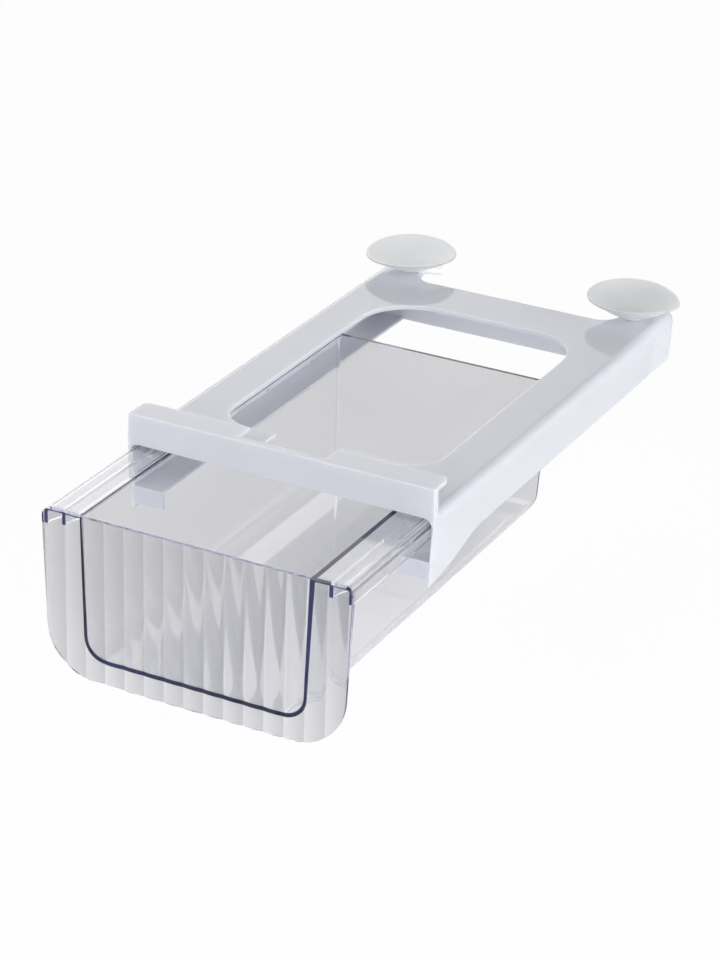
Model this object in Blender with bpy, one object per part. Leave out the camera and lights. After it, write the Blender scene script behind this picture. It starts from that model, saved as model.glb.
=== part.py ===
"""Fridge organizer bin: a hanger frame that hooks on a shelf, with a clear drawer that slides in it.

Metres, +Z up. The drawer pulls out towards -Y. The origin is where the shelf's front top edge
meets the hanger, under the hook lips and against the back of the front bar.
"""

import math

import bmesh
import bpy

# Hanger frame: front bar and hook lips
FRAME_WIDTH = 0.181
BAR_END_DRAFT = 0.0005
BAR_DEPTH = 0.0043
LIP_THICKNESS = 0.0022
LIP_REACH = 0.0127
LIP_NOTCH = 0.052
LIP_REAR_CORNER = 0.0045
LIP_INNER_CORNER = 0.001
SHELF_SLOT = 0.0124

# Hanger frame: top plate and skirt, lengths counted from the bar's front face
PLATE_THICKNESS = 0.0025
WALL = 0.0013
WALL_DRAFT = 0.04
EDGE_ROUND = 0.0055
PORTAL_ROUND = 0.005
REAR_EDGE = 0.2825
EAR_REACH = 0.037
EAR_FLAT = 0.0025
EAR_CORNER = 0.012
EAR_FILLET = 0.010
EAR_EDGE_SHARE = 0.2
WINDOW_SIDE_RIM = 0.027
WINDOW_FRONT_RIM = 0.045
WINDOW_REAR_RIM = 0.038
WINDOW_FRONT_CORNER = 0.020
WINDOW_REAR_CORNER = 0.032

# Hanger frame: lower edge of the side walls, heights counted down from the plate's top
LEG_DROP = 0.0404
LEG_FOOT_LENGTH = 0.022
LEG_FOOT_RISE = 0.0035
LEG_SWEEP_LENGTH = 0.038
LEG_SWEEP_EASE = 0.4
SIDE_DROP = 0.0283
REAR_FOOT_ROUND = 0.014

# Hanger frame: ledges, runners and pips inside the side walls
LEDGE_LIFT = 0.0001
LEDGE_THICKNESS = 0.0014
LEDGE_FRONT_DROP = 0.0102
LEDGE_FRONT_THICKNESS = 0.003
RUNNER_WIDTH = 0.0045
RUNNER_THICKNESS = 0.002
RUNNER_START = 0.012
PIP_RADIUS = 0.0015
PIP_HEIGHT = 0.003
PIP_FIRST = 0.098
PIP_LAST_TO_REAR = 0.0025
PIP_COUNT = 5

# Drawer: tray
PULLED_OUT = 0.0808
TRAY_DEPTH = 0.0787
TRAY_WALL = 0.0022
TRAY_FLOOR_ROUND = 0.011
TRAY_CORNER = 0.001
SIDE_DRAFT = 0.04
FRONT_DRAFT = 0.005
REAR_DRAFT = 0.055

# Drawer: side flanges that run on the frame's runners
FLANGE_WIDTH = 0.0229
FLANGE_THICKNESS = 0.0018
FLANGE_DROP = 0.0093
FLANGE_LIP = 0.0024
FLANGE_ROUND = 0.004
FLANGE_RIB_DROP = 0.008
FLANGE_RIB_WIDTH = 0.0024
FLANGE_RIB_FROM_MOUTH = 0.0112

# Drawer: fluted front panel
PANEL_SETBACK = 0.0016
PANEL_THICKNESS = 0.0046
PANEL_FOOT_THICKNESS = 0.0013
PANEL_AT_TRAY = 0.0021
PANEL_RISE = 0.0003
PANEL_BELOW_TRAY = 0.0116
PANEL_TAPER = 0.031
PANEL_TOP_CORNER = 0.0047
PANEL_BOTTOM_CORNER = 0.030
FLUTE_COUNT = 15
FLUTE_LAND = 0.00175
FLUTE_DEPTH = 0.0008

# Suction cups
CUP_FROM_EAR_END = 0.0282
CUP_FROM_EAR_SIDE = 0.0083
CUP_LIFT = 0.001
CUP_RADIUS = 0.027
CUP_RIM = 0.0009
CUP_DISH_DEPTH = 0.0052
CUP_DISH_SHAPE = 1.6
CUP_CONE_SHAPE = 1.15
CUP_HUB_RADIUS = 0.017
CUP_HUB_TOP = 0.0064
CUP_HUB_BASE = 0.0081
CUP_COLLAR_RADIUS = 0.0065
CUP_NECK_RADIUS = 0.0045
CUP_HEAD_RADIUS = 0.0066
CUP_HEAD_TIP_RADIUS = 0.0035
CUP_HEAD_HEIGHT = 0.0035
TAB_REACH = 0.021
TAB_WIDTH = 0.0095
TAB_THICKNESS = 0.0015
TAB_LIFT = 0.0002
TAB_HEADINGS = {"left": math.radians(0), "right": math.radians(100)}

# Clearances
HEADROOM = 0.0015
SIDE_GAP = 0.0004
REAR_GAP = 0.009
LEDGE_GAP = 0.0041
REST_GAP = 0.0003
NECK_GAP = 0.0003

# How finely round shapes are cut
ARC_STEPS = 8
EDGE_STEPS = 5
FLUTE_STEPS = 6
CUP_STEPS = 48
CUP_CURVE_STEPS = 6
OVERLAP = 0.001
BEYOND = 0.01

# Sizes, heights and places that follow from the sizes above
FRONT = -BAR_DEPTH
HALF_WIDTH = FRAME_WIDTH / 2
BAR_TOP_HALF = HALF_WIDTH - BAR_END_DRAFT
EAR_END = REAR_EDGE + EAR_REACH
EAR_SIDE = HALF_WIDTH - 2 * EAR_CORNER - EAR_FLAT
EAR_ROUND_BACK = FRONT + EAR_END - EAR_CORNER
REAR_FACE = FRONT + REAR_EDGE
WINDOW_REAR = REAR_EDGE - WINDOW_REAR_RIM
PIP_PITCH = (REAR_EDGE - PIP_LAST_TO_REAR - PIP_FIRST) / (PIP_COUNT - 1)
PLATE_TOP = -SHELF_SLOT
PLATE_UNDER = PLATE_TOP - PLATE_THICKNESS
DRAFT_TOP = PLATE_TOP - EDGE_ROUND
SIDE_BOTTOM = PLATE_TOP - SIDE_DROP
LEG_TIP = PLATE_TOP - LEG_DROP
LEDGE_BOTTOM = SIDE_BOTTOM + LEDGE_LIFT
LEDGE_TOP = LEDGE_BOTTOM + LEDGE_THICKNESS
DRAWER_TOP = PLATE_UNDER - HEADROOM
FLANGE_FOOT = DRAWER_TOP - FLANGE_DROP
RUNNER_TOP = FLANGE_FOOT - REST_GAP
PANEL_BACK = FRONT - PULLED_OUT
PANEL_CREST = PANEL_BACK - PANEL_THICKNESS
FLANGE_HALF = HALF_WIDTH - WALL_DRAFT * (DRAFT_TOP - FLANGE_FOOT) - WALL - SIDE_GAP
MOUTH_HALF = FLANGE_HALF - FLANGE_WIDTH
TRAY_LENGTH = REAR_EDGE - WALL - REAR_GAP - TRAY_WALL
PANEL_HALF = HALF_WIDTH - PANEL_SETBACK
PANEL_HEIGHT = PANEL_RISE + TRAY_DEPTH + TRAY_WALL + PANEL_BELOW_TRAY
FLUTE_PITCH = 2 * (PANEL_HALF - FLUTE_LAND) / FLUTE_COUNT
CUP_BACK = FRONT + EAR_END - CUP_FROM_EAR_END
CUP_SIDE = EAR_SIDE + CUP_FROM_EAR_SIDE
LEDGE_HALF = MOUTH_HALF + TRAY_WALL - SIDE_DRAFT * (DRAWER_TOP - LEDGE_TOP) + LEDGE_GAP


def clear_scene():
    for item in list(bpy.data.objects):
        bpy.data.objects.remove(item)


def arc(center, radius, start, end, steps=ARC_STEPS):
    """Points of a circular arc, angles in degrees, both ends included."""
    angles = [math.radians(start + (end - start) * i / steps) for i in range(steps + 1)]
    return [(center[0] + radius * math.cos(a), center[1] + radius * math.sin(a)) for a in angles]


def mirrored(half):
    """A whole outline from its right half, which runs from the middle round to the middle."""
    return half + [(-x, y) for x, y in reversed(half)]


def along(axis, outline, place):
    """Lift a flat outline into space, square to the axis."""
    if axis == "X":
        return [(place, a, b) for a, b in outline]
    if axis == "Y":
        return [(a, place, b) for a, b in outline]
    return [(a, b, place) for a, b in outline]


def stack(rings):
    """A closed solid from rings of points, joined in order and capped at both ends."""
    bm = bmesh.new()
    loops = [[bm.verts.new(point) for point in ring] for ring in rings]
    count = len(loops[0])
    for lower, upper in zip(loops, loops[1:]):
        for i in range(count):
            j = (i + 1) % count
            bm.faces.new((lower[i], lower[j], upper[j], upper[i]))
    bm.faces.new(loops[0])
    bm.faces.new(loops[-1])
    bmesh.ops.recalc_face_normals(bm, faces=bm.faces)
    return bm


def prism(axis, outline, low, high):
    return stack([along(axis, outline, low), along(axis, outline, high)])


def box(low, high):
    outline = [(low[0], low[1]), (high[0], low[1]), (high[0], high[1]), (low[0], high[1])]
    return prism("Z", outline, low[2], high[2])


def add_object(name, bm, place=(0, 0, 0)):
    mesh = bpy.data.meshes.new(name)
    bm.to_mesh(mesh)
    bm.free()
    item = bpy.data.objects.new(name, mesh)
    item.location = place
    bpy.context.scene.collection.objects.link(item)
    return item


def combine(target, operation, name, bm):
    """Add a tool solid to the target by an exact Boolean modifier."""
    tool = add_object(name, bm, target.location)
    tool.hide_render = True
    tool.display_type = "WIRE"
    step = target.modifiers.new(name, "BOOLEAN")
    step.operation = operation
    step.solver = "EXACT"
    step.object = tool


def material(name, color, roughness, transmission=0.0):
    made = bpy.data.materials.new(name)
    made.use_nodes = True
    shader = made.node_tree.nodes["Principled BSDF"]
    shader.inputs["Base Color"].default_value = (*color, 1.0)
    shader.inputs["Roughness"].default_value = roughness
    shader.inputs["Metallic"].default_value = 0.0
    shader.inputs["Transmission Weight"].default_value = transmission
    shader.inputs["IOR"].default_value = 1.5
    return made


def finish(item, coat):
    item.data.materials.append(coat)
    item.data.shade_smooth()
    item.data.set_sharp_from_angle(angle=math.radians(35))


# Hanger frame

def draft_inset(height):
    """How far the frame's side walls have come in at a height below the rounded top edges."""
    return WALL_DRAFT * max(DRAFT_TOP - height, 0.0)


def wall_middle(height):
    """Half the width between the middles of the two side walls at a height."""
    return HALF_WIDTH - draft_inset(height) - WALL / 2


def eased(center, radius, start, end, insets):
    """An arc whose radius changes evenly between two insets; an inward arc has a negative radius."""
    points = []
    for i in range(ARC_STEPS + 1):
        t = i / ARC_STEPS
        turn = math.radians(start + (end - start) * t)
        reach = abs(radius - insets[0] * (1 - t) - insets[1] * t)
        points.append((center[0] + reach * math.cos(turn), center[1] + reach * math.sin(turn)))
    return points


def shell_plan(drafted, rounded):
    """Plan of the frame's outside with its two ears at the rear, moved in by draft and by rounding."""
    side = drafted + rounded
    ear = rounded * EAR_EDGE_SHARE
    ear_center = (EAR_SIDE + EAR_CORNER, EAR_ROUND_BACK)
    fillet_center = (EAR_SIDE - EAR_FILLET, REAR_FACE + EAR_FILLET)
    points = [(HALF_WIDTH - side, FRONT)]
    points += arc((HALF_WIDTH - EAR_CORNER, EAR_ROUND_BACK), EAR_CORNER - side, 0, 90)
    points += eased(ear_center, EAR_CORNER, 90, 180, (side, ear))
    points += eased(fillet_center, -EAR_FILLET, 0, -90, (ear, rounded))
    return mirrored(points)


def bay_plan(drafted, rounded):
    """Plan of the room between the side walls, from in front of the frame to the rear wall."""
    half = HALF_WIDTH - WALL - drafted - rounded
    return mirrored([(half, FRONT - BEYOND), (half, REAR_FACE - WALL - rounded)])


def ear_room_plan(drafted, rounded):
    """Plan of the room under the right ear, inside its outer wall and open towards the middle."""
    inset = WALL + drafted + rounded
    center = (HALF_WIDTH - EAR_CORNER, EAR_ROUND_BACK)
    points = [(EAR_SIDE - EAR_FILLET, REAR_FACE), (HALF_WIDTH - inset, REAR_FACE)]
    points += arc(center, EAR_CORNER - inset, 0, 90)
    behind = FRONT + EAR_END + BEYOND
    return points + [(center[0], behind), (EAR_SIDE - EAR_FILLET, behind)]


def rounded_block(plan, bottom, top, radius):
    """A plan as a block with drafted walls, its top edges rounded."""
    rings = [along("Z", plan(draft_inset(bottom), 0), bottom)]
    for i in range(EDGE_STEPS + 1):
        turn = math.radians(90 * i / EDGE_STEPS)
        outline = plan(draft_inset(top - radius), radius * (1 - math.cos(turn)))
        rings.append(along("Z", outline, top - radius + radius * math.sin(turn)))
    return stack(rings)


def frame_shell():
    return rounded_block(shell_plan, LEG_TIP, PLATE_TOP, EDGE_ROUND)


def frame_bay():
    return rounded_block(bay_plan, LEG_TIP - BEYOND, PLATE_UNDER, PORTAL_ROUND)


def ear_room(side):
    def plan(drafted, rounded):
        return [(side * x, y) for x, y in ear_room_plan(drafted, rounded)]
    return rounded_block(plan, LEG_TIP - BEYOND, PLATE_UNDER, PORTAL_ROUND)


def below_side_walls():
    """What is cut away below the side walls: a short foot, an upward sweep, then a level edge."""
    foot_end = (FRONT + LEG_FOOT_LENGTH, LEG_TIP + LEG_FOOT_RISE)
    level_start = (foot_end[0] + LEG_SWEEP_LENGTH, SIDE_BOTTOM)
    slope = LEG_FOOT_RISE / LEG_FOOT_LENGTH
    reach = LEG_SWEEP_LENGTH * LEG_SWEEP_EASE
    first = (foot_end[0] + reach, foot_end[1] + reach * slope)
    second = (level_start[0] - reach, SIDE_BOTTOM)
    edge = [(FRONT - BEYOND, LEG_TIP), (FRONT, LEG_TIP)]
    for i in range(2 * ARC_STEPS + 1):
        t = i / (2 * ARC_STEPS)
        parts = ((1 - t) ** 3, 3 * t * (1 - t) ** 2, 3 * t * t * (1 - t), t ** 3)
        knots = (foot_end, first, second, level_start)
        edge.append(tuple(sum(w * k[axis] for w, k in zip(parts, knots)) for axis in (0, 1)))
    rear = FRONT + EAR_END
    edge += arc((rear - REAR_FOOT_ROUND, SIDE_BOTTOM + REAR_FOOT_ROUND), REAR_FOOT_ROUND, 270, 360)
    edge += [(rear + BEYOND, SIDE_BOTTOM + REAR_FOOT_ROUND), (rear + BEYOND, LEG_TIP - 2 * BEYOND)]
    edge += [(FRONT - BEYOND, LEG_TIP - 2 * BEYOND)]
    reach = HALF_WIDTH + BEYOND
    return prism("X", edge, -reach, reach)


def frame_window():
    """The opening in the plate, which runs forward to the bar between the hook lips."""
    half = HALF_WIDTH - WINDOW_SIDE_RIM
    front = FRONT + WINDOW_FRONT_RIM
    rear = FRONT + WINDOW_REAR
    points = [(LIP_NOTCH / 2, 0), (LIP_NOTCH / 2, front)]
    points += arc((half - WINDOW_FRONT_CORNER, front + WINDOW_FRONT_CORNER), WINDOW_FRONT_CORNER, 270, 360)
    points += arc((half - WINDOW_REAR_CORNER, rear - WINDOW_REAR_CORNER), WINDOW_REAR_CORNER, 0, 90)
    return prism("Z", mirrored(points), PLATE_UNDER - OVERLAP, PLATE_TOP + OVERLAP)


def front_bar():
    points = [(HALF_WIDTH, PLATE_UNDER), (BAR_TOP_HALF, LIP_THICKNESS)]
    return prism("Y", mirrored(points), FRONT, 0)


def hook_lip(side):
    """One of the two flanges that lie on top of the shelf."""
    inner = LIP_NOTCH / 2
    outer = BAR_TOP_HALF
    points = [(inner, -OVERLAP), (outer, -OVERLAP)]
    points += arc((outer - LIP_REAR_CORNER, LIP_REACH - LIP_REAR_CORNER), LIP_REAR_CORNER, 0, 90)
    points += arc((inner + LIP_INNER_CORNER, LIP_REACH - LIP_INNER_CORNER), LIP_INNER_CORNER, 90, 180, 3)
    return prism("Z", [(side * x, y) for x, y in points], 0, LIP_THICKNESS)


def between(side, inner, outer, y_range, z_range):
    """A box on one side of the middle plane."""
    x_low, x_high = sorted((side * inner, side * outer))
    return box((x_low, y_range[0], z_range[0]), (x_high, y_range[1], z_range[1]))


def side_ledge(side):
    """The inward ledge along the bottom of a side wall."""
    y_range = (FRONT, REAR_FACE - WALL / 2)
    return between(side, LEDGE_HALF, wall_middle(LEDGE_BOTTOM), y_range, (LEDGE_BOTTOM, LEDGE_TOP))


def ledge_front(side):
    """The taller block that ends a ledge at the front."""
    y_range = (FRONT, FRONT + LEDGE_FRONT_THICKNESS)
    foot = LEDGE_TOP - LEDGE_FRONT_DROP
    return between(side, LEDGE_HALF, wall_middle(foot), y_range, (foot, LEDGE_TOP))


def runner(side):
    """The narrow rib that carries the drawer's flange."""
    outer = wall_middle(RUNNER_TOP)
    inner = outer - WALL / 2 - RUNNER_WIDTH
    y_range = (FRONT + RUNNER_START, REAR_FACE - WALL / 2)
    return between(side, inner, outer, y_range, (RUNNER_TOP - RUNNER_THICKNESS, RUNNER_TOP))


def pip(side, index):
    """A small round stiffener where a ledge meets its side wall."""
    center = (side * (wall_middle(LEDGE_TOP) - WALL / 2), FRONT + PIP_FIRST + PIP_PITCH * index)
    outline = arc(center, PIP_RADIUS, 0, 330, 11)
    return prism("Z", outline, LEDGE_TOP - OVERLAP, LEDGE_TOP + PIP_HEIGHT)


def neck_hole(side):
    center = (side * CUP_SIDE, CUP_BACK)
    outline = arc(center, CUP_NECK_RADIUS + NECK_GAP, 0, 345, 23)
    return prism("Z", outline, PLATE_UNDER - OVERLAP, PLATE_TOP + OVERLAP)


def make_frame(coat):
    frame = add_object("hanger_frame", frame_shell())
    combine(frame, "DIFFERENCE", "cut_bay", frame_bay())
    combine(frame, "DIFFERENCE", "cut_ear_left", ear_room(-1))
    combine(frame, "DIFFERENCE", "cut_ear_right", ear_room(1))
    combine(frame, "DIFFERENCE", "cut_below", below_side_walls())
    combine(frame, "DIFFERENCE", "cut_window", frame_window())
    combine(frame, "UNION", "add_bar", front_bar())
    for side, word in ((-1, "left"), (1, "right")):
        combine(frame, "UNION", f"add_lip_{word}", hook_lip(side))
        combine(frame, "UNION", f"add_ledge_{word}", side_ledge(side))
        combine(frame, "UNION", f"add_ledge_front_{word}", ledge_front(side))
        combine(frame, "UNION", f"add_runner_{word}", runner(side))
        combine(frame, "DIFFERENCE", f"cut_neck_{word}", neck_hole(side))
        for index in range(PIP_COUNT):
            combine(frame, "UNION", f"add_pip_{word}_{index}", pip(side, index))
    finish(frame, coat)


# Drawer

def wall_inset(depth, height, draft, radius):
    """How far a tray wall has come in at a depth below the mouth."""
    left = height - depth
    turn = 0.0
    if left < radius:
        turn = radius - math.sqrt(max(radius ** 2 - (radius - left) ** 2, 0.0))
    return draft * depth + turn


def tray_block(grow, front, front_draft, height, above):
    """The tray's solid outline, grown outwards from its inner face, from above its rim to its floor."""
    radius = TRAY_FLOOR_ROUND + grow
    corner = TRAY_CORNER + grow
    depths = [-above, height - radius]
    for i in range(1, ARC_STEPS + 1):
        depths.append(height - radius + radius * math.sin(math.radians(90 * i / ARC_STEPS)))
    rings = []
    for depth in depths:
        half = MOUTH_HALF + grow - wall_inset(depth, height, SIDE_DRAFT, radius)
        rear = PANEL_BACK + TRAY_LENGTH + grow - wall_inset(depth, height, REAR_DRAFT, radius)
        right = [(half, front + front_draft * depth)] + arc((half - corner, rear - corner), corner, 0, 90, 3)
        rings.append(along("Z", mirrored(right), DRAWER_TOP - depth))
    return stack(rings)


def tray_outer():
    front = PANEL_CREST + (FLUTE_DEPTH + PANEL_AT_TRAY) / 2
    return tray_block(TRAY_WALL, front, 0, TRAY_DEPTH + TRAY_WALL, 0)


def tray_inner():
    return tray_block(0, PANEL_CREST + PANEL_AT_TRAY, FRONT_DRAFT, TRAY_DEPTH, BEYOND / 2)


def side_flange(side):
    """The flange along one side of the mouth, with a middle rib and a lip turned down."""
    inner = MOUTH_HALF + TRAY_WALL / 2
    under = DRAWER_TOP - FLANGE_THICKNESS
    lip = FLANGE_HALF - FLANGE_LIP
    rib = MOUTH_HALF + FLANGE_RIB_FROM_MOUTH
    rib_foot = DRAWER_TOP - FLANGE_RIB_DROP
    center = (FLANGE_HALF - FLANGE_ROUND, DRAWER_TOP - FLANGE_ROUND)
    inner_round = FLANGE_ROUND - FLANGE_LIP
    outline = [(inner, DRAWER_TOP)] + arc(center, FLANGE_ROUND, 90, 0)
    outline += [(FLANGE_HALF, FLANGE_FOOT), (lip, FLANGE_FOOT)]
    outline += arc((lip - inner_round, under - inner_round), inner_round, 0, 90, 4)
    outline += [(rib + FLANGE_RIB_WIDTH / 2, under), (rib + FLANGE_RIB_WIDTH / 2, rib_foot)]
    outline += [(rib - FLANGE_RIB_WIDTH / 2, rib_foot), (rib - FLANGE_RIB_WIDTH / 2, under)]
    outline += [(inner, under)]
    outline = [(side * x, z) for x, z in outline]
    return prism("Y", outline, PANEL_BACK - OVERLAP, PANEL_BACK + TRAY_LENGTH + TRAY_WALL)


def fluted_slab():
    """A slab with upright flutes on its front, larger than the panel and thinner at its foot."""
    valley = PANEL_CREST + FLUTE_DEPTH
    reach = HALF_WIDTH + BEYOND
    start = -FLUTE_PITCH * FLUTE_COUNT / 2
    face = [(-reach, valley)]
    for flute in range(FLUTE_COUNT):
        for step in range(FLUTE_STEPS):
            t = step / FLUTE_STEPS
            bulge = FLUTE_DEPTH * (1 - (2 * t - 1) ** 2)
            face.append((start + FLUTE_PITCH * (flute + t), valley - bulge))
    face += [(-start, valley), (reach, valley)]
    top = DRAWER_TOP + PANEL_RISE
    slope = (PANEL_THICKNESS - PANEL_FOOT_THICKNESS) / PANEL_HEIGHT
    rings = []
    for height in (top - PANEL_HEIGHT - OVERLAP, top + OVERLAP):
        back = PANEL_BACK - slope * (top - height)
        rings.append(along("Z", [(reach, back), (-reach, back)] + face, height))
    return stack(rings)


def panel_outline():
    """The panel's outline seen from the front: slightly narrower below, with large lower corners."""
    top = DRAWER_TOP + PANEL_RISE
    bottom = top - PANEL_HEIGHT
    upper_half = PANEL_HALF
    lower_half = upper_half - PANEL_TAPER * (PANEL_HEIGHT - PANEL_BOTTOM_CORNER)
    upper = arc((upper_half - PANEL_TOP_CORNER, top - PANEL_TOP_CORNER), PANEL_TOP_CORNER, 90, 0)
    center = (lower_half - PANEL_BOTTOM_CORNER, bottom + PANEL_BOTTOM_CORNER)
    lower = arc(center, PANEL_BOTTOM_CORNER, 0, -90, 2 * ARC_STEPS)
    return prism("Y", mirrored(upper + lower), PANEL_CREST - BEYOND, PANEL_BACK + BEYOND)


def make_drawer(coat):
    drawer = add_object("clear_drawer", fluted_slab())
    combine(drawer, "INTERSECT", "keep_panel", panel_outline())
    combine(drawer, "UNION", "add_tray", tray_outer())
    combine(drawer, "UNION", "add_flange_left", side_flange(-1))
    combine(drawer, "UNION", "add_flange_right", side_flange(1))
    combine(drawer, "DIFFERENCE", "cut_tray", tray_inner())
    finish(drawer, coat)


# Suction cups

def cup_profile():
    """Radius and height of the cup from its head under the plate, out to the rim and into the dish."""
    steps = CUP_CURVE_STEPS
    head_top = PLATE_UNDER - REST_GAP
    profile = [(CUP_HEAD_TIP_RADIUS, head_top - CUP_HEAD_HEIGHT), (CUP_HEAD_RADIUS, head_top - CUP_RIM),
               (CUP_HEAD_RADIUS, head_top), (CUP_NECK_RADIUS, head_top),
               (CUP_NECK_RADIUS, PLATE_TOP + REST_GAP), (CUP_COLLAR_RADIUS, PLATE_TOP + REST_GAP),
               (CUP_COLLAR_RADIUS, -CUP_HUB_BASE), (CUP_HUB_RADIUS, -CUP_HUB_BASE),
               (CUP_HUB_RADIUS, -CUP_HUB_TOP)]
    for i in range(1, steps + 1):
        t = i / steps
        radius = CUP_HUB_RADIUS + (CUP_RADIUS - CUP_HUB_RADIUS) * t
        fall = (CUP_HUB_TOP + CUP_LIFT - CUP_RIM) * (1 - t) ** CUP_CONE_SHAPE
        profile.append((radius, CUP_LIFT - CUP_RIM - fall))
    rim = CUP_RADIUS - CUP_RIM / 2
    profile += [(CUP_RADIUS, CUP_LIFT - CUP_RIM / 3), (rim, CUP_LIFT)]
    for i in range(1, steps + 1):
        t = 1 - i / (steps + 1)
        profile.append((rim * t, CUP_LIFT - CUP_DISH_DEPTH * (1 - t ** CUP_DISH_SHAPE)))
    return profile


def cup_body():
    rings = []
    for radius, height in cup_profile():
        circle = arc((0, 0), radius, 0, 360 - 360 / CUP_STEPS, CUP_STEPS - 1)
        rings.append(along("Z", circle, height))
    return stack(rings)


def pull_tab(heading):
    """The flat tab that peels the cup off the shelf."""
    half = TAB_WIDTH / 2
    flat = [(CUP_NECK_RADIUS, -half), (TAB_REACH - half, -half)]
    flat += arc((TAB_REACH - half, 0), half, -80, 80) + [(TAB_REACH - half, half), (CUP_NECK_RADIUS, half)]
    turn, lift = math.cos(heading), math.sin(heading)
    outline = [(x * turn - y * lift, x * lift + y * turn) for x, y in flat]
    base = TAB_LIFT - CUP_HUB_BASE
    return prism("Z", outline, base, base + TAB_THICKNESS)


def make_cup(word, side, coat):
    place = (side * CUP_SIDE, CUP_BACK, 0)
    cup = add_object(f"suction_cup_{word}", cup_body(), place)
    combine(cup, "UNION", f"add_tab_{word}", pull_tab(TAB_HEADINGS[word]))
    finish(cup, coat)


def main():
    clear_scene()
    make_frame(material("white_plastic", (0.83, 0.84, 0.88), 0.18))
    make_drawer(material("clear_plastic", (0.90, 0.93, 0.95), 0.03, 1.0))
    make_cup("left", -1, material("soft_clear_vinyl_left", (0.85, 0.87, 0.87), 0.30, 0.8))
    make_cup("right", 1, material("soft_clear_vinyl_right", (0.85, 0.87, 0.87), 0.30, 0.8))


main()
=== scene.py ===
"""Looks of the fridge organizer bin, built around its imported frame.

Lengths are in metres, or in millimetres where a comment says so.
"""

import math

import bmesh
import bpy
from mathutils import Matrix, Vector


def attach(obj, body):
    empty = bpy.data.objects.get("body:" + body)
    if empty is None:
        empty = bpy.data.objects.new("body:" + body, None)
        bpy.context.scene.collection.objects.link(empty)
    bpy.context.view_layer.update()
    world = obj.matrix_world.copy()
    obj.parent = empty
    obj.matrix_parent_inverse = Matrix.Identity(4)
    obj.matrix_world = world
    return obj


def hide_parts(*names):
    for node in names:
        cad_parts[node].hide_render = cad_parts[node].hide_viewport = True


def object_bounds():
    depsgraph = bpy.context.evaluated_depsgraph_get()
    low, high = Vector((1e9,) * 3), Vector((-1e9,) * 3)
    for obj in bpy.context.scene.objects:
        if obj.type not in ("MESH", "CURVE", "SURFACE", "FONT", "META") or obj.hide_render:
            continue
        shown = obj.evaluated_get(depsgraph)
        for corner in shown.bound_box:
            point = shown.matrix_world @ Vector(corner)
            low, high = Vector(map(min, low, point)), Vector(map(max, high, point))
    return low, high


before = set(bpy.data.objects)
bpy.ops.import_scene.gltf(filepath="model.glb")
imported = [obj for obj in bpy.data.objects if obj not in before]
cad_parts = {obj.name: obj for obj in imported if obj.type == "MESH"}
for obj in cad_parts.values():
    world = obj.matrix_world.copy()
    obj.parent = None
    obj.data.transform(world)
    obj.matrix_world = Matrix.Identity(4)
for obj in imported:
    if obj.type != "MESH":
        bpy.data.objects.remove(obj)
CAD_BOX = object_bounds()

bl_info = {
    "name": "Fridge organizer bin",
    "version": (1, 0, 0),
    "blender": (4, 5, 0),
    "location": "3D View > Sidebar > Bin",
    "description": "White hanger frame, clear fluted drawer and two suction cups",
    "category": "Object",
}

# Copies of CAD nodes: points closer than this are merged, facets flatter than this become one face, and an
# edge that turns by more than the sharp angle is rounded. Between the crease angle and the sharp angle an
# edge stays crisp. The hanger frame keeps no such creases, and the drawer keeps those between its flutes.
MERGE_DISTANCE = 1e-6
FLAT_ANGLE = math.radians(0.4)
SHARP_ANGLE = math.radians(40)
HANGER_CREASE = SHARP_ANGLE
DRAWER_CREASE = math.radians(14)

# Fluted front: half its width, the flat strip at each side, its flutes, and the Y up to which painted shade
# lies across them
PANEL_HALF = 0.0889
FLUTE_LAND = 0.00175
FLUTE_COUNT = 15
FLUTE_FRONT = -0.0853

# Suction cups: where they stand, their outer radius and the radius from which painted shade darkens the rim
CUP_SIDE = 0.0723
CUP_BACK = 0.287
CUP_RADIUS = 0.027
CUP_STEPS = 96
RIM_INNER = 0.0264

# A cup's profile, as radius and height in millimetres, from the tip of its head up to its hub
CUP_HEAD = [(0.0, -18.7), (3.4, -18.7), (6.5, -16.2), (6.5, -15.3)]
CUP_NECK = [(4.5, -15.1), (4.5, -12.2)]
CUP_COLLAR = [(6.4, -11.9), (6.5, -8.6), (7.2, -8.1)]
CUP_HUB = [(13.4, -8.1), (14.0, -7.4)]

# The outside of a cup's dish in millimetres: where it starts, how far out and up it runs, and how it curves
CONE_RADIUS = 14.6
CONE_FOOT = -6.9
CONE_RUN = 11.8
CONE_RISE = 6.7
CONE_CURVE = 1.15
CONE_STATIONS = (0.0, 0.2, 0.4, 0.6, 0.8, 1.0)

# A cup's rim, and the hollow of its dish: its radius, the height of its edge, its depth and how it curves
CUP_RIM = [(27.0, 0.2), (27.0, 0.75), (26.7, 1.0), (26.3, 0.9)]
DISH_RADIUS = 25.8
DISH_EDGE = 1.0
DISH_DEPTH = 6.4
DISH_CURVE = 1.6
DISH_STATIONS = (1.0, 0.85, 0.7, 0.55, 0.4, 0.25, 0.1, 0.0)

# The profile's corners are cut this often, each time by this share of the lines that meet there
CUP_SMOOTHING = 2
CORNER_CUT = 0.25

MM_PER_METRE = 1000

# Pull tab: its outline in millimetres from the cup's axis, its underside, thickness and rounded edge
TAB_OUTLINE = ((5.0, -12.5), (13.2, -11.0), (24.0, -6.2), (19.2, 2.5), (8.0, 6.0))
TAB_FOOT = -0.0080
TAB_THICK = 0.0026
TAB_ROUND = 0.0006
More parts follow.
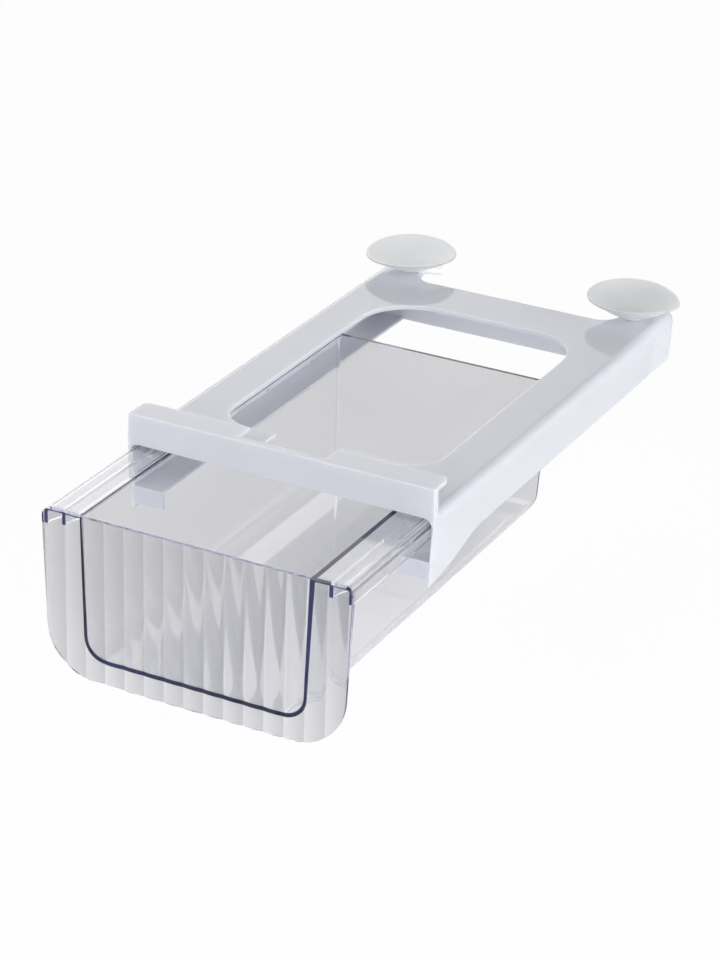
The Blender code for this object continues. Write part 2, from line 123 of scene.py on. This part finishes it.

# How each soft cup sits. The tab is turned by its angle. The rim is raised all round by the level, towards
# the picture's right and its back by the two leans, and at its left and right ends by the bend, which lowers
# it at the front and the back. A value below nought does the opposite. The sag moves the right end alone.
# The least painted shade is the smallest share of the rim's painted shade that lies anywhere on the cup; it
# darkens the whole right cup with painted shade.
PICTURE_RIGHT = math.radians(29)
CUP_FORMS = {
    "left": {"tab": 0.0, "level": -0.0016, "lean_right": 0.00045, "lean_back": 0.0001, "bend": -0.0007,
             "sag": 0.0, "least_painted_shade": 0.0},
    "right": {"tab": math.radians(100), "level": 0.0003, "lean_right": -0.00045, "lean_back": 0.0,
              "bend": -0.0004, "sag": -0.0014, "least_painted_shade": 0.28},
}

# Plastics: how deep light soaks into the pale ones, how strongly each bends light, and the colour of the
# light that the clear and the milky one let into their shadows
WHITE_SOAK = 0.0035
VINYL_SOAK = 0.004
WHITE_IOR = 1.5
CLEAR_IOR = 1.53
VINYL_IOR = 1.45
DRAWER_SHADOW = (0.93, 0.935, 0.945)
VINYL_SHADOW = (0.85, 0.85, 0.85)

# Unevenness: the share of its colour that a plastic has at its darker spots, and the shares of its set
# roughness, or for the polished one the roughness itself, between which it varies
WHITE_CLOUD = 0.985
VINYL_CLOUD = 0.96
WHITE_ROUGH = (0.8, 1.25)
VINYL_ROUGH = (0.9, 1.1)
CLEAR_ROUGH = (0.0, 0.02)

# Most of a noise lies between these two values
NOISE_LOW = 0.3
NOISE_HIGH = 0.7

# Light runs along inside the drawer's walls, and has to come out again
LIGHT_GUIDE_BOUNCES = 64

# Camera: its place, its heading, tilt and roll, and its lens
CAMERA_PLACE = (0.681656, -1.231249, 0.661832)
CAMERA_HEADING = math.radians(27.322)
CAMERA_TILT = math.radians(64.307)
CAMERA_ROLL = math.radians(1.561)
CAMERA_LENS = 113.54
CAMERA_SENSOR = 36.0
CAMERA_CLIP_START = 0.05

# The room's light: the height on a unit globe from which it is as strong as overhead, the way to the room's
# bright corner, and the cosines of the angles at which that corner fades out and is at its full
OVERHEAD_FROM = 0.8
BRIGHT_CORNER = (-0.72, 0.60, 0.34)
CORNER_SPREAD = (0.82, 0.97)
WHITE = (1.0, 1.0, 1.0, 1.0)

# Floor: half its side, its roughness, and how much of it glows where the camera sees it straight on or
# through the drawer
FLOOR_HALF = 6.0
FLOOR_ROUGHNESS = 0.9
FLOOR_GLOW_SEEN = 0.95
FLOOR_GLOW_THROUGH = 0.4

# Soft lamps, all aimed at the bin's middle: the place, size and power in watts of each
LAMP_AIM = (0.0, 0.1, -0.05)
LAMPS = {
    "key_light": ((-0.60, -0.85, 0.80), (0.7, 0.7), 4.4),
    "side_light": ((1.6, 0.0, 0.45), (1.0, 0.9), 18.5),
    "front_fill": ((0.1, -1.5, 0.30), (1.0, 0.5), 6.6),
}


# Settings that a user may change

class HangerSettings(bpy.types.PropertyGroup):
    softness: bpy.props.FloatProperty(
        name="Edge softness", description="Radius of the moulding's small edges",
        default=0.00035, min=0.0, max=0.001, unit="LENGTH", precision=5)
    color: bpy.props.FloatVectorProperty(
        name="Plastic colour", description="Colour of the white plastic",
        default=(0.64, 0.655, 0.705), size=3, min=0.0, max=1.0, subtype="COLOR")
    roughness: bpy.props.FloatProperty(
        name="Roughness", description="How dull the white plastic is",
        default=0.035, min=0.0, max=1.0, subtype="FACTOR")


class DrawerSettings(bpy.types.PropertyGroup):
    softness: bpy.props.FloatProperty(
        name="Edge softness", description="Radius of the drawer's small edges",
        default=0.00035, min=0.0, max=0.001, unit="LENGTH", precision=5)
    tint: bpy.props.FloatVectorProperty(
        name="Tint", description="Colour that long ways through the plastic take on",
        default=(0.10, 0.10, 0.60), size=3, min=0.0, max=1.0, subtype="COLOR")
    density: bpy.props.FloatProperty(
        name="Tint density", description="How fast the plastic tints light, per metre",
        default=10.0, min=0.0, max=500.0)
    clarity: bpy.props.FloatProperty(
        name="Clarity", description="Share of light that each face of the plastic lets through",
        default=0.91, min=0.0, max=1.0, subtype="FACTOR")
    # Painted shade: the share of the clarity that is left at the dark side of each flute
    flute_painted_shade: bpy.props.FloatProperty(
        name="Flute tone", description="Share of the clarity that is left at the dark side of each flute",
        default=0.79, min=0.0, max=1.0, subtype="FACTOR")


class CupSettings(bpy.types.PropertyGroup):
    color: bpy.props.FloatVectorProperty(
        name="Vinyl colour", description="Colour of the soft vinyl",
        default=(0.84, 0.85, 0.86), size=3, min=0.0, max=1.0, subtype="COLOR")
    roughness: bpy.props.FloatProperty(
        name="Roughness", description="How dull the soft vinyl is",
        default=0.42, min=0.0, max=1.0, subtype="FACTOR")
    # Painted shade at the thin rim: the share of the vinyl's colour that is left there
    rim_painted_shade: bpy.props.FloatProperty(
        name="Rim tone", description="Share of the vinyl's colour that is left at the thin rim",
        default=0.5, min=0.0, max=1.0, subtype="FACTOR")


class StageSettings(bpy.types.PropertyGroup):
    floor_drop: bpy.props.FloatProperty(
        name="Floor below part", description="How far the floor lies below the hanging bin",
        default=0.002, min=0.0, max=1.0, unit="LENGTH")
    floor_color: bpy.props.FloatVectorProperty(
        name="Floor colour", description="Colour of the pale floor",
        default=(0.90, 0.90, 0.91), size=3, min=0.0, max=1.0, subtype="COLOR")
    through: bpy.props.FloatProperty(
        name="Floor through plastic", description="How light the floor looks through the clear drawer",
        default=0.84, min=0.0, max=1.0, subtype="FACTOR")
    light: bpy.props.FloatProperty(
        name="Light", description="Strength of the light from the horizon",
        default=0.95, min=0.0, max=5.0)
    overhead: bpy.props.FloatProperty(
        name="Overhead light", description="Strength of the light from straight above",
        default=0.20, min=0.0, max=5.0)
    glow: bpy.props.FloatProperty(
        name="Bright corner", description="Extra light from the room's corner behind the bin, to the left",
        default=1.3, min=0.0, max=5.0)


# Materials

def new_material(name):
    """A material, its node tree and the shader that it starts with."""
    made = bpy.data.materials.new(name)
    made.use_nodes = True
    return made, made.node_tree, made.node_tree.nodes["Principled BSDF"]


def add_node(tree, kind, inputs=(), **settings):
    """A node whose inputs are linked where a socket is given and set where a value is."""
    node = tree.nodes.new(kind)
    for key, value in settings.items():
        setattr(node, key, value)
    for key, value in dict(inputs).items():
        if isinstance(value, bpy.types.NodeSocket):
            tree.links.new(value, node.inputs[key])
        else:
            node.inputs[key].default_value = value
    return node


def object_noise(tree, scale, detail, stretch=(1.0, 1.0, 1.0)):
    """Noise that stays with the piece, from its own coordinates."""
    place = add_node(tree, "ShaderNodeTexCoord").outputs["Object"]
    stretched = add_node(tree, "ShaderNodeMapping", {"Vector": place, "Scale": stretch}).outputs["Vector"]
    noise = add_node(tree, "ShaderNodeTexNoise", {"Vector": stretched, "Scale": scale, "Detail": detail})
    return noise.outputs["Fac"]


def spread(tree, value, low, high):
    """A noise brought to a narrow range."""
    node = add_node(tree, "ShaderNodeMapRange", {"Value": value, "From Min": NOISE_LOW,
                                                 "From Max": NOISE_HIGH, "To Min": low, "To Max": high})
    return node.outputs["Result"]


def two_tones(tree, value, first, second):
    """A colour that runs from the first tone to the second with the value."""
    node = add_node(tree, "ShaderNodeMix", data_type="RGBA")
    tree.links.new(value, node.inputs["Factor"])
    node.inputs["A"].default_value = (*first, 1.0)
    node.inputs["B"].default_value = (*second, 1.0)
    return node.outputs["Result"]


def bump(tree, height, strength, distance):
    """A normal for small unevenness."""
    node = add_node(tree, "ShaderNodeBump", {"Height": height, "Strength": strength, "Distance": distance})
    return node.outputs["Normal"]


def let_light_soak_in(shader, depth):
    """Make a pale plastic milky: light passes through its thin walls."""
    shader.inputs["Subsurface Weight"].default_value = 1.0
    shader.inputs["Subsurface Radius"].default_value = (1.0, 1.0, 1.0)
    shader.inputs["Subsurface Scale"].default_value = depth


def let_shadow_rays_through(tree, shader, color):
    """Mix a clear shader in for shadow rays only, so that the piece casts a pale shadow."""
    path = add_node(tree, "ShaderNodeLightPath")
    passing = add_node(tree, "ShaderNodeBsdfTransparent", {"Color": (*color, 1.0)})
    mixed = add_node(tree, "ShaderNodeMixShader", {0: path.outputs["Is Shadow Ray"],
                                                   1: shader.outputs[0], 2: passing.outputs[0]})
    tree.links.new(mixed.outputs[0], tree.nodes["Material Output"].inputs["Surface"])


def white_plastic(settings):
    """Glossy, cool white plastic that is faintly cloudy, with a very fine grain."""
    made, tree, shader = new_material("white_plastic_gloss")
    color = Vector(settings.color)
    cloud = object_noise(tree, scale=14.0, detail=3.0)
    tree.links.new(two_tones(tree, cloud, color * WHITE_CLOUD, color), shader.inputs["Base Color"])
    rough = object_noise(tree, scale=60.0, detail=4.0)
    low, high = (settings.roughness * share for share in WHITE_ROUGH)
    tree.links.new(spread(tree, rough, low, high), shader.inputs["Roughness"])
    grain = object_noise(tree, scale=900.0, detail=2.0)
    tree.links.new(bump(tree, grain, strength=0.06, distance=0.0002), shader.inputs["Normal"])
    shader.inputs["IOR"].default_value = WHITE_IOR
    let_light_soak_in(shader, WHITE_SOAK)
    return made


def painted_flute_shade(tree):
    """Painted shade on the fluted front: how far across its flute a point lies; elsewhere nothing."""
    place = add_node(tree, "ShaderNodeTexCoord").outputs["Object"]
    parts = add_node(tree, "ShaderNodeSeparateXYZ", {0: place})
    flutes = FLUTE_COUNT / (2 * (PANEL_HALF - FLUTE_LAND))
    across = add_node(tree, "ShaderNodeMath", {0: parts.outputs["X"], 1: flutes, 2: FLUTE_COUNT / 2},
                      operation="MULTIPLY_ADD")
    phase = add_node(tree, "ShaderNodeMath", {0: across.outputs[0]}, operation="FRACT")
    front = add_node(tree, "ShaderNodeMath", {0: parts.outputs["Y"], 1: FLUTE_FRONT}, operation="LESS_THAN")
    both = add_node(tree, "ShaderNodeMath", {0: phase.outputs[0], 1: front.outputs[0]}, operation="MULTIPLY")
    return both.outputs[0]


def clear_plastic(settings):
    """Polished, clear plastic with a blue tint in its depth, painted shade across each flute of its front,
    and the slight waves of a moulding.
    """
    made, tree, shader = new_material("clear_plastic_polished")
    clear = Vector([settings.clarity] * 3)
    # Painted shade: each flute of the front runs from full clarity to a darker tone across its width
    tree.links.new(two_tones(tree, painted_flute_shade(tree), clear, clear * settings.flute_painted_shade),
                   shader.inputs["Base Color"])
    shader.inputs["Transmission Weight"].default_value = 1.0
    shader.inputs["IOR"].default_value = CLEAR_IOR
    rough = object_noise(tree, scale=45.0, detail=4.0)
    tree.links.new(spread(tree, rough, *CLEAR_ROUGH), shader.inputs["Roughness"])
    waves = object_noise(tree, scale=60.0, detail=1.0, stretch=(1.0, 0.35, 1.0))
    tree.links.new(bump(tree, waves, strength=0.015, distance=0.001), shader.inputs["Normal"])
    let_shadow_rays_through(tree, shader, DRAWER_SHADOW)
    tinted = add_node(tree, "ShaderNodeVolumeAbsorption",
                      {"Color": (*settings.tint, 1.0), "Density": settings.density})
    tree.links.new(tinted.outputs[0], tree.nodes["Material Output"].inputs["Volume"])
    return made


def soft_vinyl(settings):
    """Milky, satin vinyl with painted shade at its thin rim, and over a whole cup where the cup's least
    painted shade is set.
    """
    made, tree, shader = new_material("soft_vinyl_milky")
    color = Vector(settings.color)
    cloud = object_noise(tree, scale=90.0, detail=3.0)
    milky = two_tones(tree, cloud, color * VINYL_CLOUD, color)
    # Painted shade: the rim attribute darkens the vinyl towards the thin rim
    rim = add_node(tree, "ShaderNodeAttribute", attribute_name="rim")
    rim_color_with_painted_shade = add_node(tree, "ShaderNodeMix", data_type="RGBA")
    tree.links.new(rim.outputs["Fac"], rim_color_with_painted_shade.inputs["Factor"])
    tree.links.new(milky, rim_color_with_painted_shade.inputs["A"])
    rim_color_with_painted_shade.inputs["B"].default_value = (*color * settings.rim_painted_shade, 1.0)
    tree.links.new(rim_color_with_painted_shade.outputs["Result"], shader.inputs["Base Color"])
    rough = object_noise(tree, scale=80.0, detail=2.0)
    low, high = (settings.roughness * share for share in VINYL_ROUGH)
    tree.links.new(spread(tree, rough, low, high), shader.inputs["Roughness"])
    shader.inputs["IOR"].default_value = VINYL_IOR
    let_light_soak_in(shader, VINYL_SOAK)
    let_shadow_rays_through(tree, shader, VINYL_SHADOW)
    return made


# Mouldings that take their shape from the frame

def softened_copy(node, name, softness, crease_from):
    """A copy of a CAD node, with its sharp edges rounded and its shallow creases kept crisp."""
    bm = bmesh.new()
    bm.from_mesh(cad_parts[node].data)
    bmesh.ops.remove_doubles(bm, verts=bm.verts, dist=MERGE_DISTANCE)
    bmesh.ops.dissolve_limit(bm, angle_limit=FLAT_ANGLE, verts=bm.verts, edges=bm.edges)
    angles = {edge: edge.calc_face_angle(0.0) for edge in bm.edges}
    for edge, angle in angles.items():
        edge.smooth = not crease_from < angle <= SHARP_ANGLE
    sharp = [edge for edge, angle in angles.items() if angle > SHARP_ANGLE]
    bmesh.ops.bevel(bm, geom=sharp, offset=softness, offset_type="OFFSET", segments=2, profile=0.5,
                    affect="EDGES", clamp_overlap=True, material=-1)
    mesh = bpy.data.meshes.new(name)
    bm.to_mesh(mesh)
    bm.free()
    piece = bpy.data.objects.new(name, mesh)
    bpy.context.scene.collection.objects.link(piece)
    mesh.shade_smooth()
    weigh = piece.modifiers.new("even_shading", "WEIGHTED_NORMAL")
    weigh.keep_sharp = True
    return piece


class BIN_OT_hanger_frame(bpy.types.Operator):
    """Add the white hanger frame with softened edges"""
    bl_idname = "bin.hanger_frame"
    bl_label = "Hanger frame"

    def execute(self, context):
        settings = context.scene.bin_hanger
        piece = softened_copy("hanger_frame", "hanger_moulding", settings.softness, HANGER_CREASE)
        piece.data.materials.append(white_plastic(settings))
        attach(piece, "hanger")
        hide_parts("hanger_frame")
        return {"FINISHED"}


class BIN_OT_clear_drawer(bpy.types.Operator):
    """Add the clear drawer with its fluted front"""
    bl_idname = "bin.clear_drawer"
    bl_label = "Clear drawer"

    def execute(self, context):
        settings = context.scene.bin_drawer
        piece = softened_copy("clear_drawer", "drawer_moulding", settings.softness, DRAWER_CREASE)
        piece.data.materials.append(clear_plastic(settings))
        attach(piece, "drawer")
        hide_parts("clear_drawer")
        return {"FINISHED"}


# Suction cups

def smoothed(points, rounds):
    """A profile whose corners are cut in each round, with its ends left where they are."""
    for _ in range(rounds):
        cut = [points[0]]
        for first, second in zip(points, points[1:]):
            cut.append(first.lerp(second, CORNER_CUT))
            cut.append(first.lerp(second, 1 - CORNER_CUT))
        points = cut + [points[-1]]
    return points


def cup_profile():
    """A cup's profile, from the tip of its head out to the rim and into the middle of its dish."""
    cone = [(CONE_RADIUS + CONE_RUN * t, CONE_FOOT + CONE_RISE * t ** CONE_CURVE) for t in CONE_STATIONS]
    dish = [(DISH_RADIUS * t, DISH_EDGE - DISH_DEPTH * (1 - t ** DISH_CURVE)) for t in DISH_STATIONS]
    outline = CUP_HEAD + CUP_NECK + CUP_COLLAR + CUP_HUB + cone + CUP_RIM + dish
    points = [Vector((radius / MM_PER_METRE, 0.0, height / MM_PER_METRE)) for radius, height in outline]
    return smoothed(points, CUP_SMOOTHING)


def rise(point, form):
    """How much higher the soft cup lies at a point, which is given from the cup's own middle."""
    reach = min(math.hypot(point.x, point.y) / CUP_RADIUS, 1.0)
    turn = math.atan2(point.y, point.x) - PICTURE_RIGHT
    return reach ** 2 * (form["level"] + form["lean_right"] * math.cos(turn)
                         + form["lean_back"] * math.sin(turn) + form["bend"] * math.cos(2 * turn)
                         + form["sag"] * max(math.cos(turn), 0.0) ** 3)


def spun_cup(name, center, form):
    """A soft cup spun round its axis, with a thin rim and a flat pull tab."""
    bm = bmesh.new()
    outline = [bm.verts.new(point) for point in cup_profile()]
    edges = [bm.edges.new(pair) for pair in zip(outline, outline[1:])]
    bmesh.ops.spin(bm, geom=outline + edges, cent=(0, 0, 0), axis=(0, 0, 1), angle=math.tau,
                   steps=CUP_STEPS, use_merge=True)
    bmesh.ops.remove_doubles(bm, verts=bm.verts, dist=MERGE_DISTANCE)
    turn = Matrix.Rotation(form["tab"], 3, "Z")
    corners = [Vector((x / MM_PER_METRE, y / MM_PER_METRE, TAB_FOOT)) for x, y in TAB_OUTLINE]
    foot = [bm.verts.new(turn @ corner) for corner in corners]
    risen = bmesh.ops.extrude_face_region(bm, geom=[bm.faces.new(foot)])["geom"]
    top = [item for item in risen if isinstance(item, bmesh.types.BMVert)]
    bmesh.ops.translate(bm, verts=top, vec=(0, 0, TAB_THICK))
    edges = list({edge for vert in foot + top for edge in vert.link_edges})
    bmesh.ops.bevel(bm, geom=edges, offset=TAB_ROUND, offset_type="OFFSET", segments=2,
                    profile=0.5, affect="EDGES", clamp_overlap=True, material=-1)
    # The rim attribute weighs painted shade: full at the thin rim, and never less than the cup's least
    # painted shade
    rim = bm.verts.layers.float.new("rim")
    for vert in bm.verts:
        reach = math.hypot(vert.co.x, vert.co.y)
        vert[rim] = min(max((reach - RIM_INNER) / (CUP_RADIUS - RIM_INNER), form["least_painted_shade"]), 1.0)
        vert.co.z += rise(vert.co, form)
    bmesh.ops.translate(bm, verts=bm.verts, vec=center)
    bmesh.ops.recalc_face_normals(bm, faces=bm.faces)
    mesh = bpy.data.meshes.new(name)
    bm.to_mesh(mesh)
    bm.free()
    mesh.shade_smooth()
    piece = bpy.data.objects.new(name, mesh)
    bpy.context.scene.collection.objects.link(piece)
    return piece


class BIN_OT_suction_cups(bpy.types.Operator):
    """Add the two soft suction cups"""
    bl_idname = "bin.suction_cups"
    bl_label = "Suction cups"

    def execute(self, context):
        coat = soft_vinyl(context.scene.bin_cups)
        for word, side in (("left", -1), ("right", 1)):
            center = (side * CUP_SIDE, CUP_BACK, 0.0)
            piece = spun_cup(f"vinyl_cup_{word}", center, CUP_FORMS[word])
            piece.data.materials.append(coat)
            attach(piece, f"{word}_cup")
            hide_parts(f"suction_cup_{word}")
        return {"FINISHED"}


# Stage

def aim_camera():
    data = bpy.data.cameras.new("camera")
    data.lens = CAMERA_LENS
    data.sensor_width = CAMERA_SENSOR
    data.clip_start = CAMERA_CLIP_START
    camera = bpy.data.objects.new("camera", data)
    turn = (Matrix.Rotation(CAMERA_HEADING, 4, "Z") @ Matrix.Rotation(CAMERA_TILT, 4, "X")
            @ Matrix.Rotation(CAMERA_ROLL, 4, "Z"))
    camera.matrix_world = Matrix.Translation(CAMERA_PLACE) @ turn
    bpy.context.scene.collection.objects.link(camera)
    bpy.context.scene.camera = camera


def light_world(settings):
    """A room that is lighter at the horizon than overhead, white where the camera looks into it."""
    world = bpy.data.worlds.new("soft_room")
    bpy.context.scene.world = world
    world.use_nodes = True
    tree = world.node_tree
    way = add_node(tree, "ShaderNodeTexCoord").outputs["Generated"]
    height = add_node(tree, "ShaderNodeSeparateXYZ", {0: way}).outputs["Z"]
    level = add_node(tree, "ShaderNodeMapRange",
                     {"Value": height, "From Min": 0.0, "From Max": OVERHEAD_FROM,
                      "To Min": settings.light, "To Max": settings.overhead})
    near = add_node(tree, "ShaderNodeVectorMath", {0: way, 1: BRIGHT_CORNER}, operation="DOT_PRODUCT")
    corner = add_node(tree, "ShaderNodeMapRange",
                      {"Value": near.outputs["Value"], "From Min": CORNER_SPREAD[0],
                       "From Max": CORNER_SPREAD[1], "To Min": 0.0, "To Max": settings.glow},
                      interpolation_type="SMOOTHSTEP")
    both = add_node(tree, "ShaderNodeMath", {0: level.outputs["Result"], 1: corner.outputs["Result"]})
    plain = tree.nodes["Background"]
    plain.inputs["Color"].default_value = WHITE
    tree.links.new(both.outputs[0], plain.inputs["Strength"])
    white = add_node(tree, "ShaderNodeBackground", {"Color": WHITE, "Strength": 1.0})
    path = add_node(tree, "ShaderNodeLightPath")
    mixed = add_node(tree, "ShaderNodeMixShader", {0: path.outputs["Is Camera Ray"], 1: plain.outputs[0],
                                                   2: white.outputs[0]})
    tree.links.new(mixed.outputs[0], tree.nodes["World Output"].inputs["Surface"])


def floor_paper(settings):
    """Pale paper that the camera sees as nearly white, and a little darker through the drawer."""
    made, tree, shader = new_material("floor_paper")
    shader.inputs["Base Color"].default_value = (*settings.floor_color, 1.0)
    shader.inputs["Roughness"].default_value = FLOOR_ROUGHNESS
    path = add_node(tree, "ShaderNodeLightPath")
    level = add_node(tree, "ShaderNodeMapRange", {"Value": path.outputs["Is Camera Ray"],
                                                  "To Min": settings.through, "To Max": 1.0})
    glow = add_node(tree, "ShaderNodeEmission", {"Strength": level.outputs["Result"]})
    seen = add_node(tree, "ShaderNodeMath", {0: path.outputs["Is Camera Ray"], 1: FLOOR_GLOW_SEEN},
                    operation="MULTIPLY")
    share = add_node(tree, "ShaderNodeMath", {0: path.outputs["Is Transmission Ray"], 1: FLOOR_GLOW_THROUGH,
                                              2: seen.outputs[0]}, operation="MULTIPLY_ADD")
    mixed = add_node(tree, "ShaderNodeMixShader", {0: share.outputs[0], 1: shader.outputs[0],
                                                   2: glow.outputs[0]})
    tree.links.new(mixed.outputs[0], tree.nodes["Material Output"].inputs["Surface"])
    return made


def lay_floor(settings):
    bm = bmesh.new()
    bmesh.ops.create_grid(bm, x_segments=1, y_segments=1, size=FLOOR_HALF)
    bmesh.ops.translate(bm, verts=bm.verts, vec=(0, 0, CAD_BOX[0][2] - settings.floor_drop))
    mesh = bpy.data.meshes.new("floor")
    bm.to_mesh(mesh)
    bm.free()
    floor = bpy.data.objects.new("floor", mesh)
    bpy.context.scene.collection.objects.link(floor)
    mesh.materials.append(floor_paper(settings))


def add_lamp(name, place, size, watts):
    data = bpy.data.lights.new(name, "AREA")
    data.shape = "RECTANGLE"
    data.size, data.size_y = size
    data.energy = watts
    lamp = bpy.data.objects.new(name, data)
    lamp.location = place
    lamp.rotation_euler = (Vector(LAMP_AIM) - Vector(place)).to_track_quat("-Z", "Y").to_euler()
    bpy.context.scene.collection.objects.link(lamp)


class BIN_OT_stage(bpy.types.Operator):
    """Add the floor, the soft lights and the camera"""
    bl_idname = "bin.stage"
    bl_label = "Stage"

    def execute(self, context):
        settings = context.scene.bin_stage
        context.scene.view_settings.view_transform = "Standard"
        aim_camera()
        light_world(settings)
        lay_floor(settings)
        for name, (place, size, watts) in LAMPS.items():
            add_lamp(name, place, size, watts)
        for kind in ("max", "transmission", "glossy"):
            setattr(context.scene.cycles, f"{kind}_bounces", LIGHT_GUIDE_BOUNCES)
        return {"FINISHED"}


class BIN_PT_panel(bpy.types.Panel):
    bl_label = "Fridge bin"
    bl_idname = "BIN_PT_panel"
    bl_space_type = "VIEW_3D"
    bl_region_type = "UI"
    bl_category = "Bin"

    def draw(self, context):
        for step, settings in STEPS:
            column = self.layout.column()
            column.operator(f"bin.{step}")
            for name in getattr(context.scene, settings).__annotations__:
                column.prop(getattr(context.scene, settings), name)


STEPS = (("hanger_frame", "bin_hanger"), ("clear_drawer", "bin_drawer"), ("suction_cups", "bin_cups"),
         ("stage", "bin_stage"))
GROUPS = {"bin_hanger": HangerSettings, "bin_drawer": DrawerSettings, "bin_cups": CupSettings,
          "bin_stage": StageSettings}
OPERATORS = (BIN_OT_hanger_frame, BIN_OT_clear_drawer, BIN_OT_suction_cups, BIN_OT_stage)


def register():
    for name, group in GROUPS.items():
        bpy.utils.register_class(group)
        setattr(bpy.types.Scene, name, bpy.props.PointerProperty(type=group))
    for item in (*OPERATORS, BIN_PT_panel):
        bpy.utils.register_class(item)


def unregister():
    for item in (BIN_PT_panel, *reversed(OPERATORS)):
        bpy.utils.unregister_class(item)
    for name, group in GROUPS.items():
        delattr(bpy.types.Scene, name)
        bpy.utils.unregister_class(group)


def main():
    register()
    for step, _ in STEPS:
        getattr(bpy.ops.bin, step)()


if __name__ == "__main__":
    main()
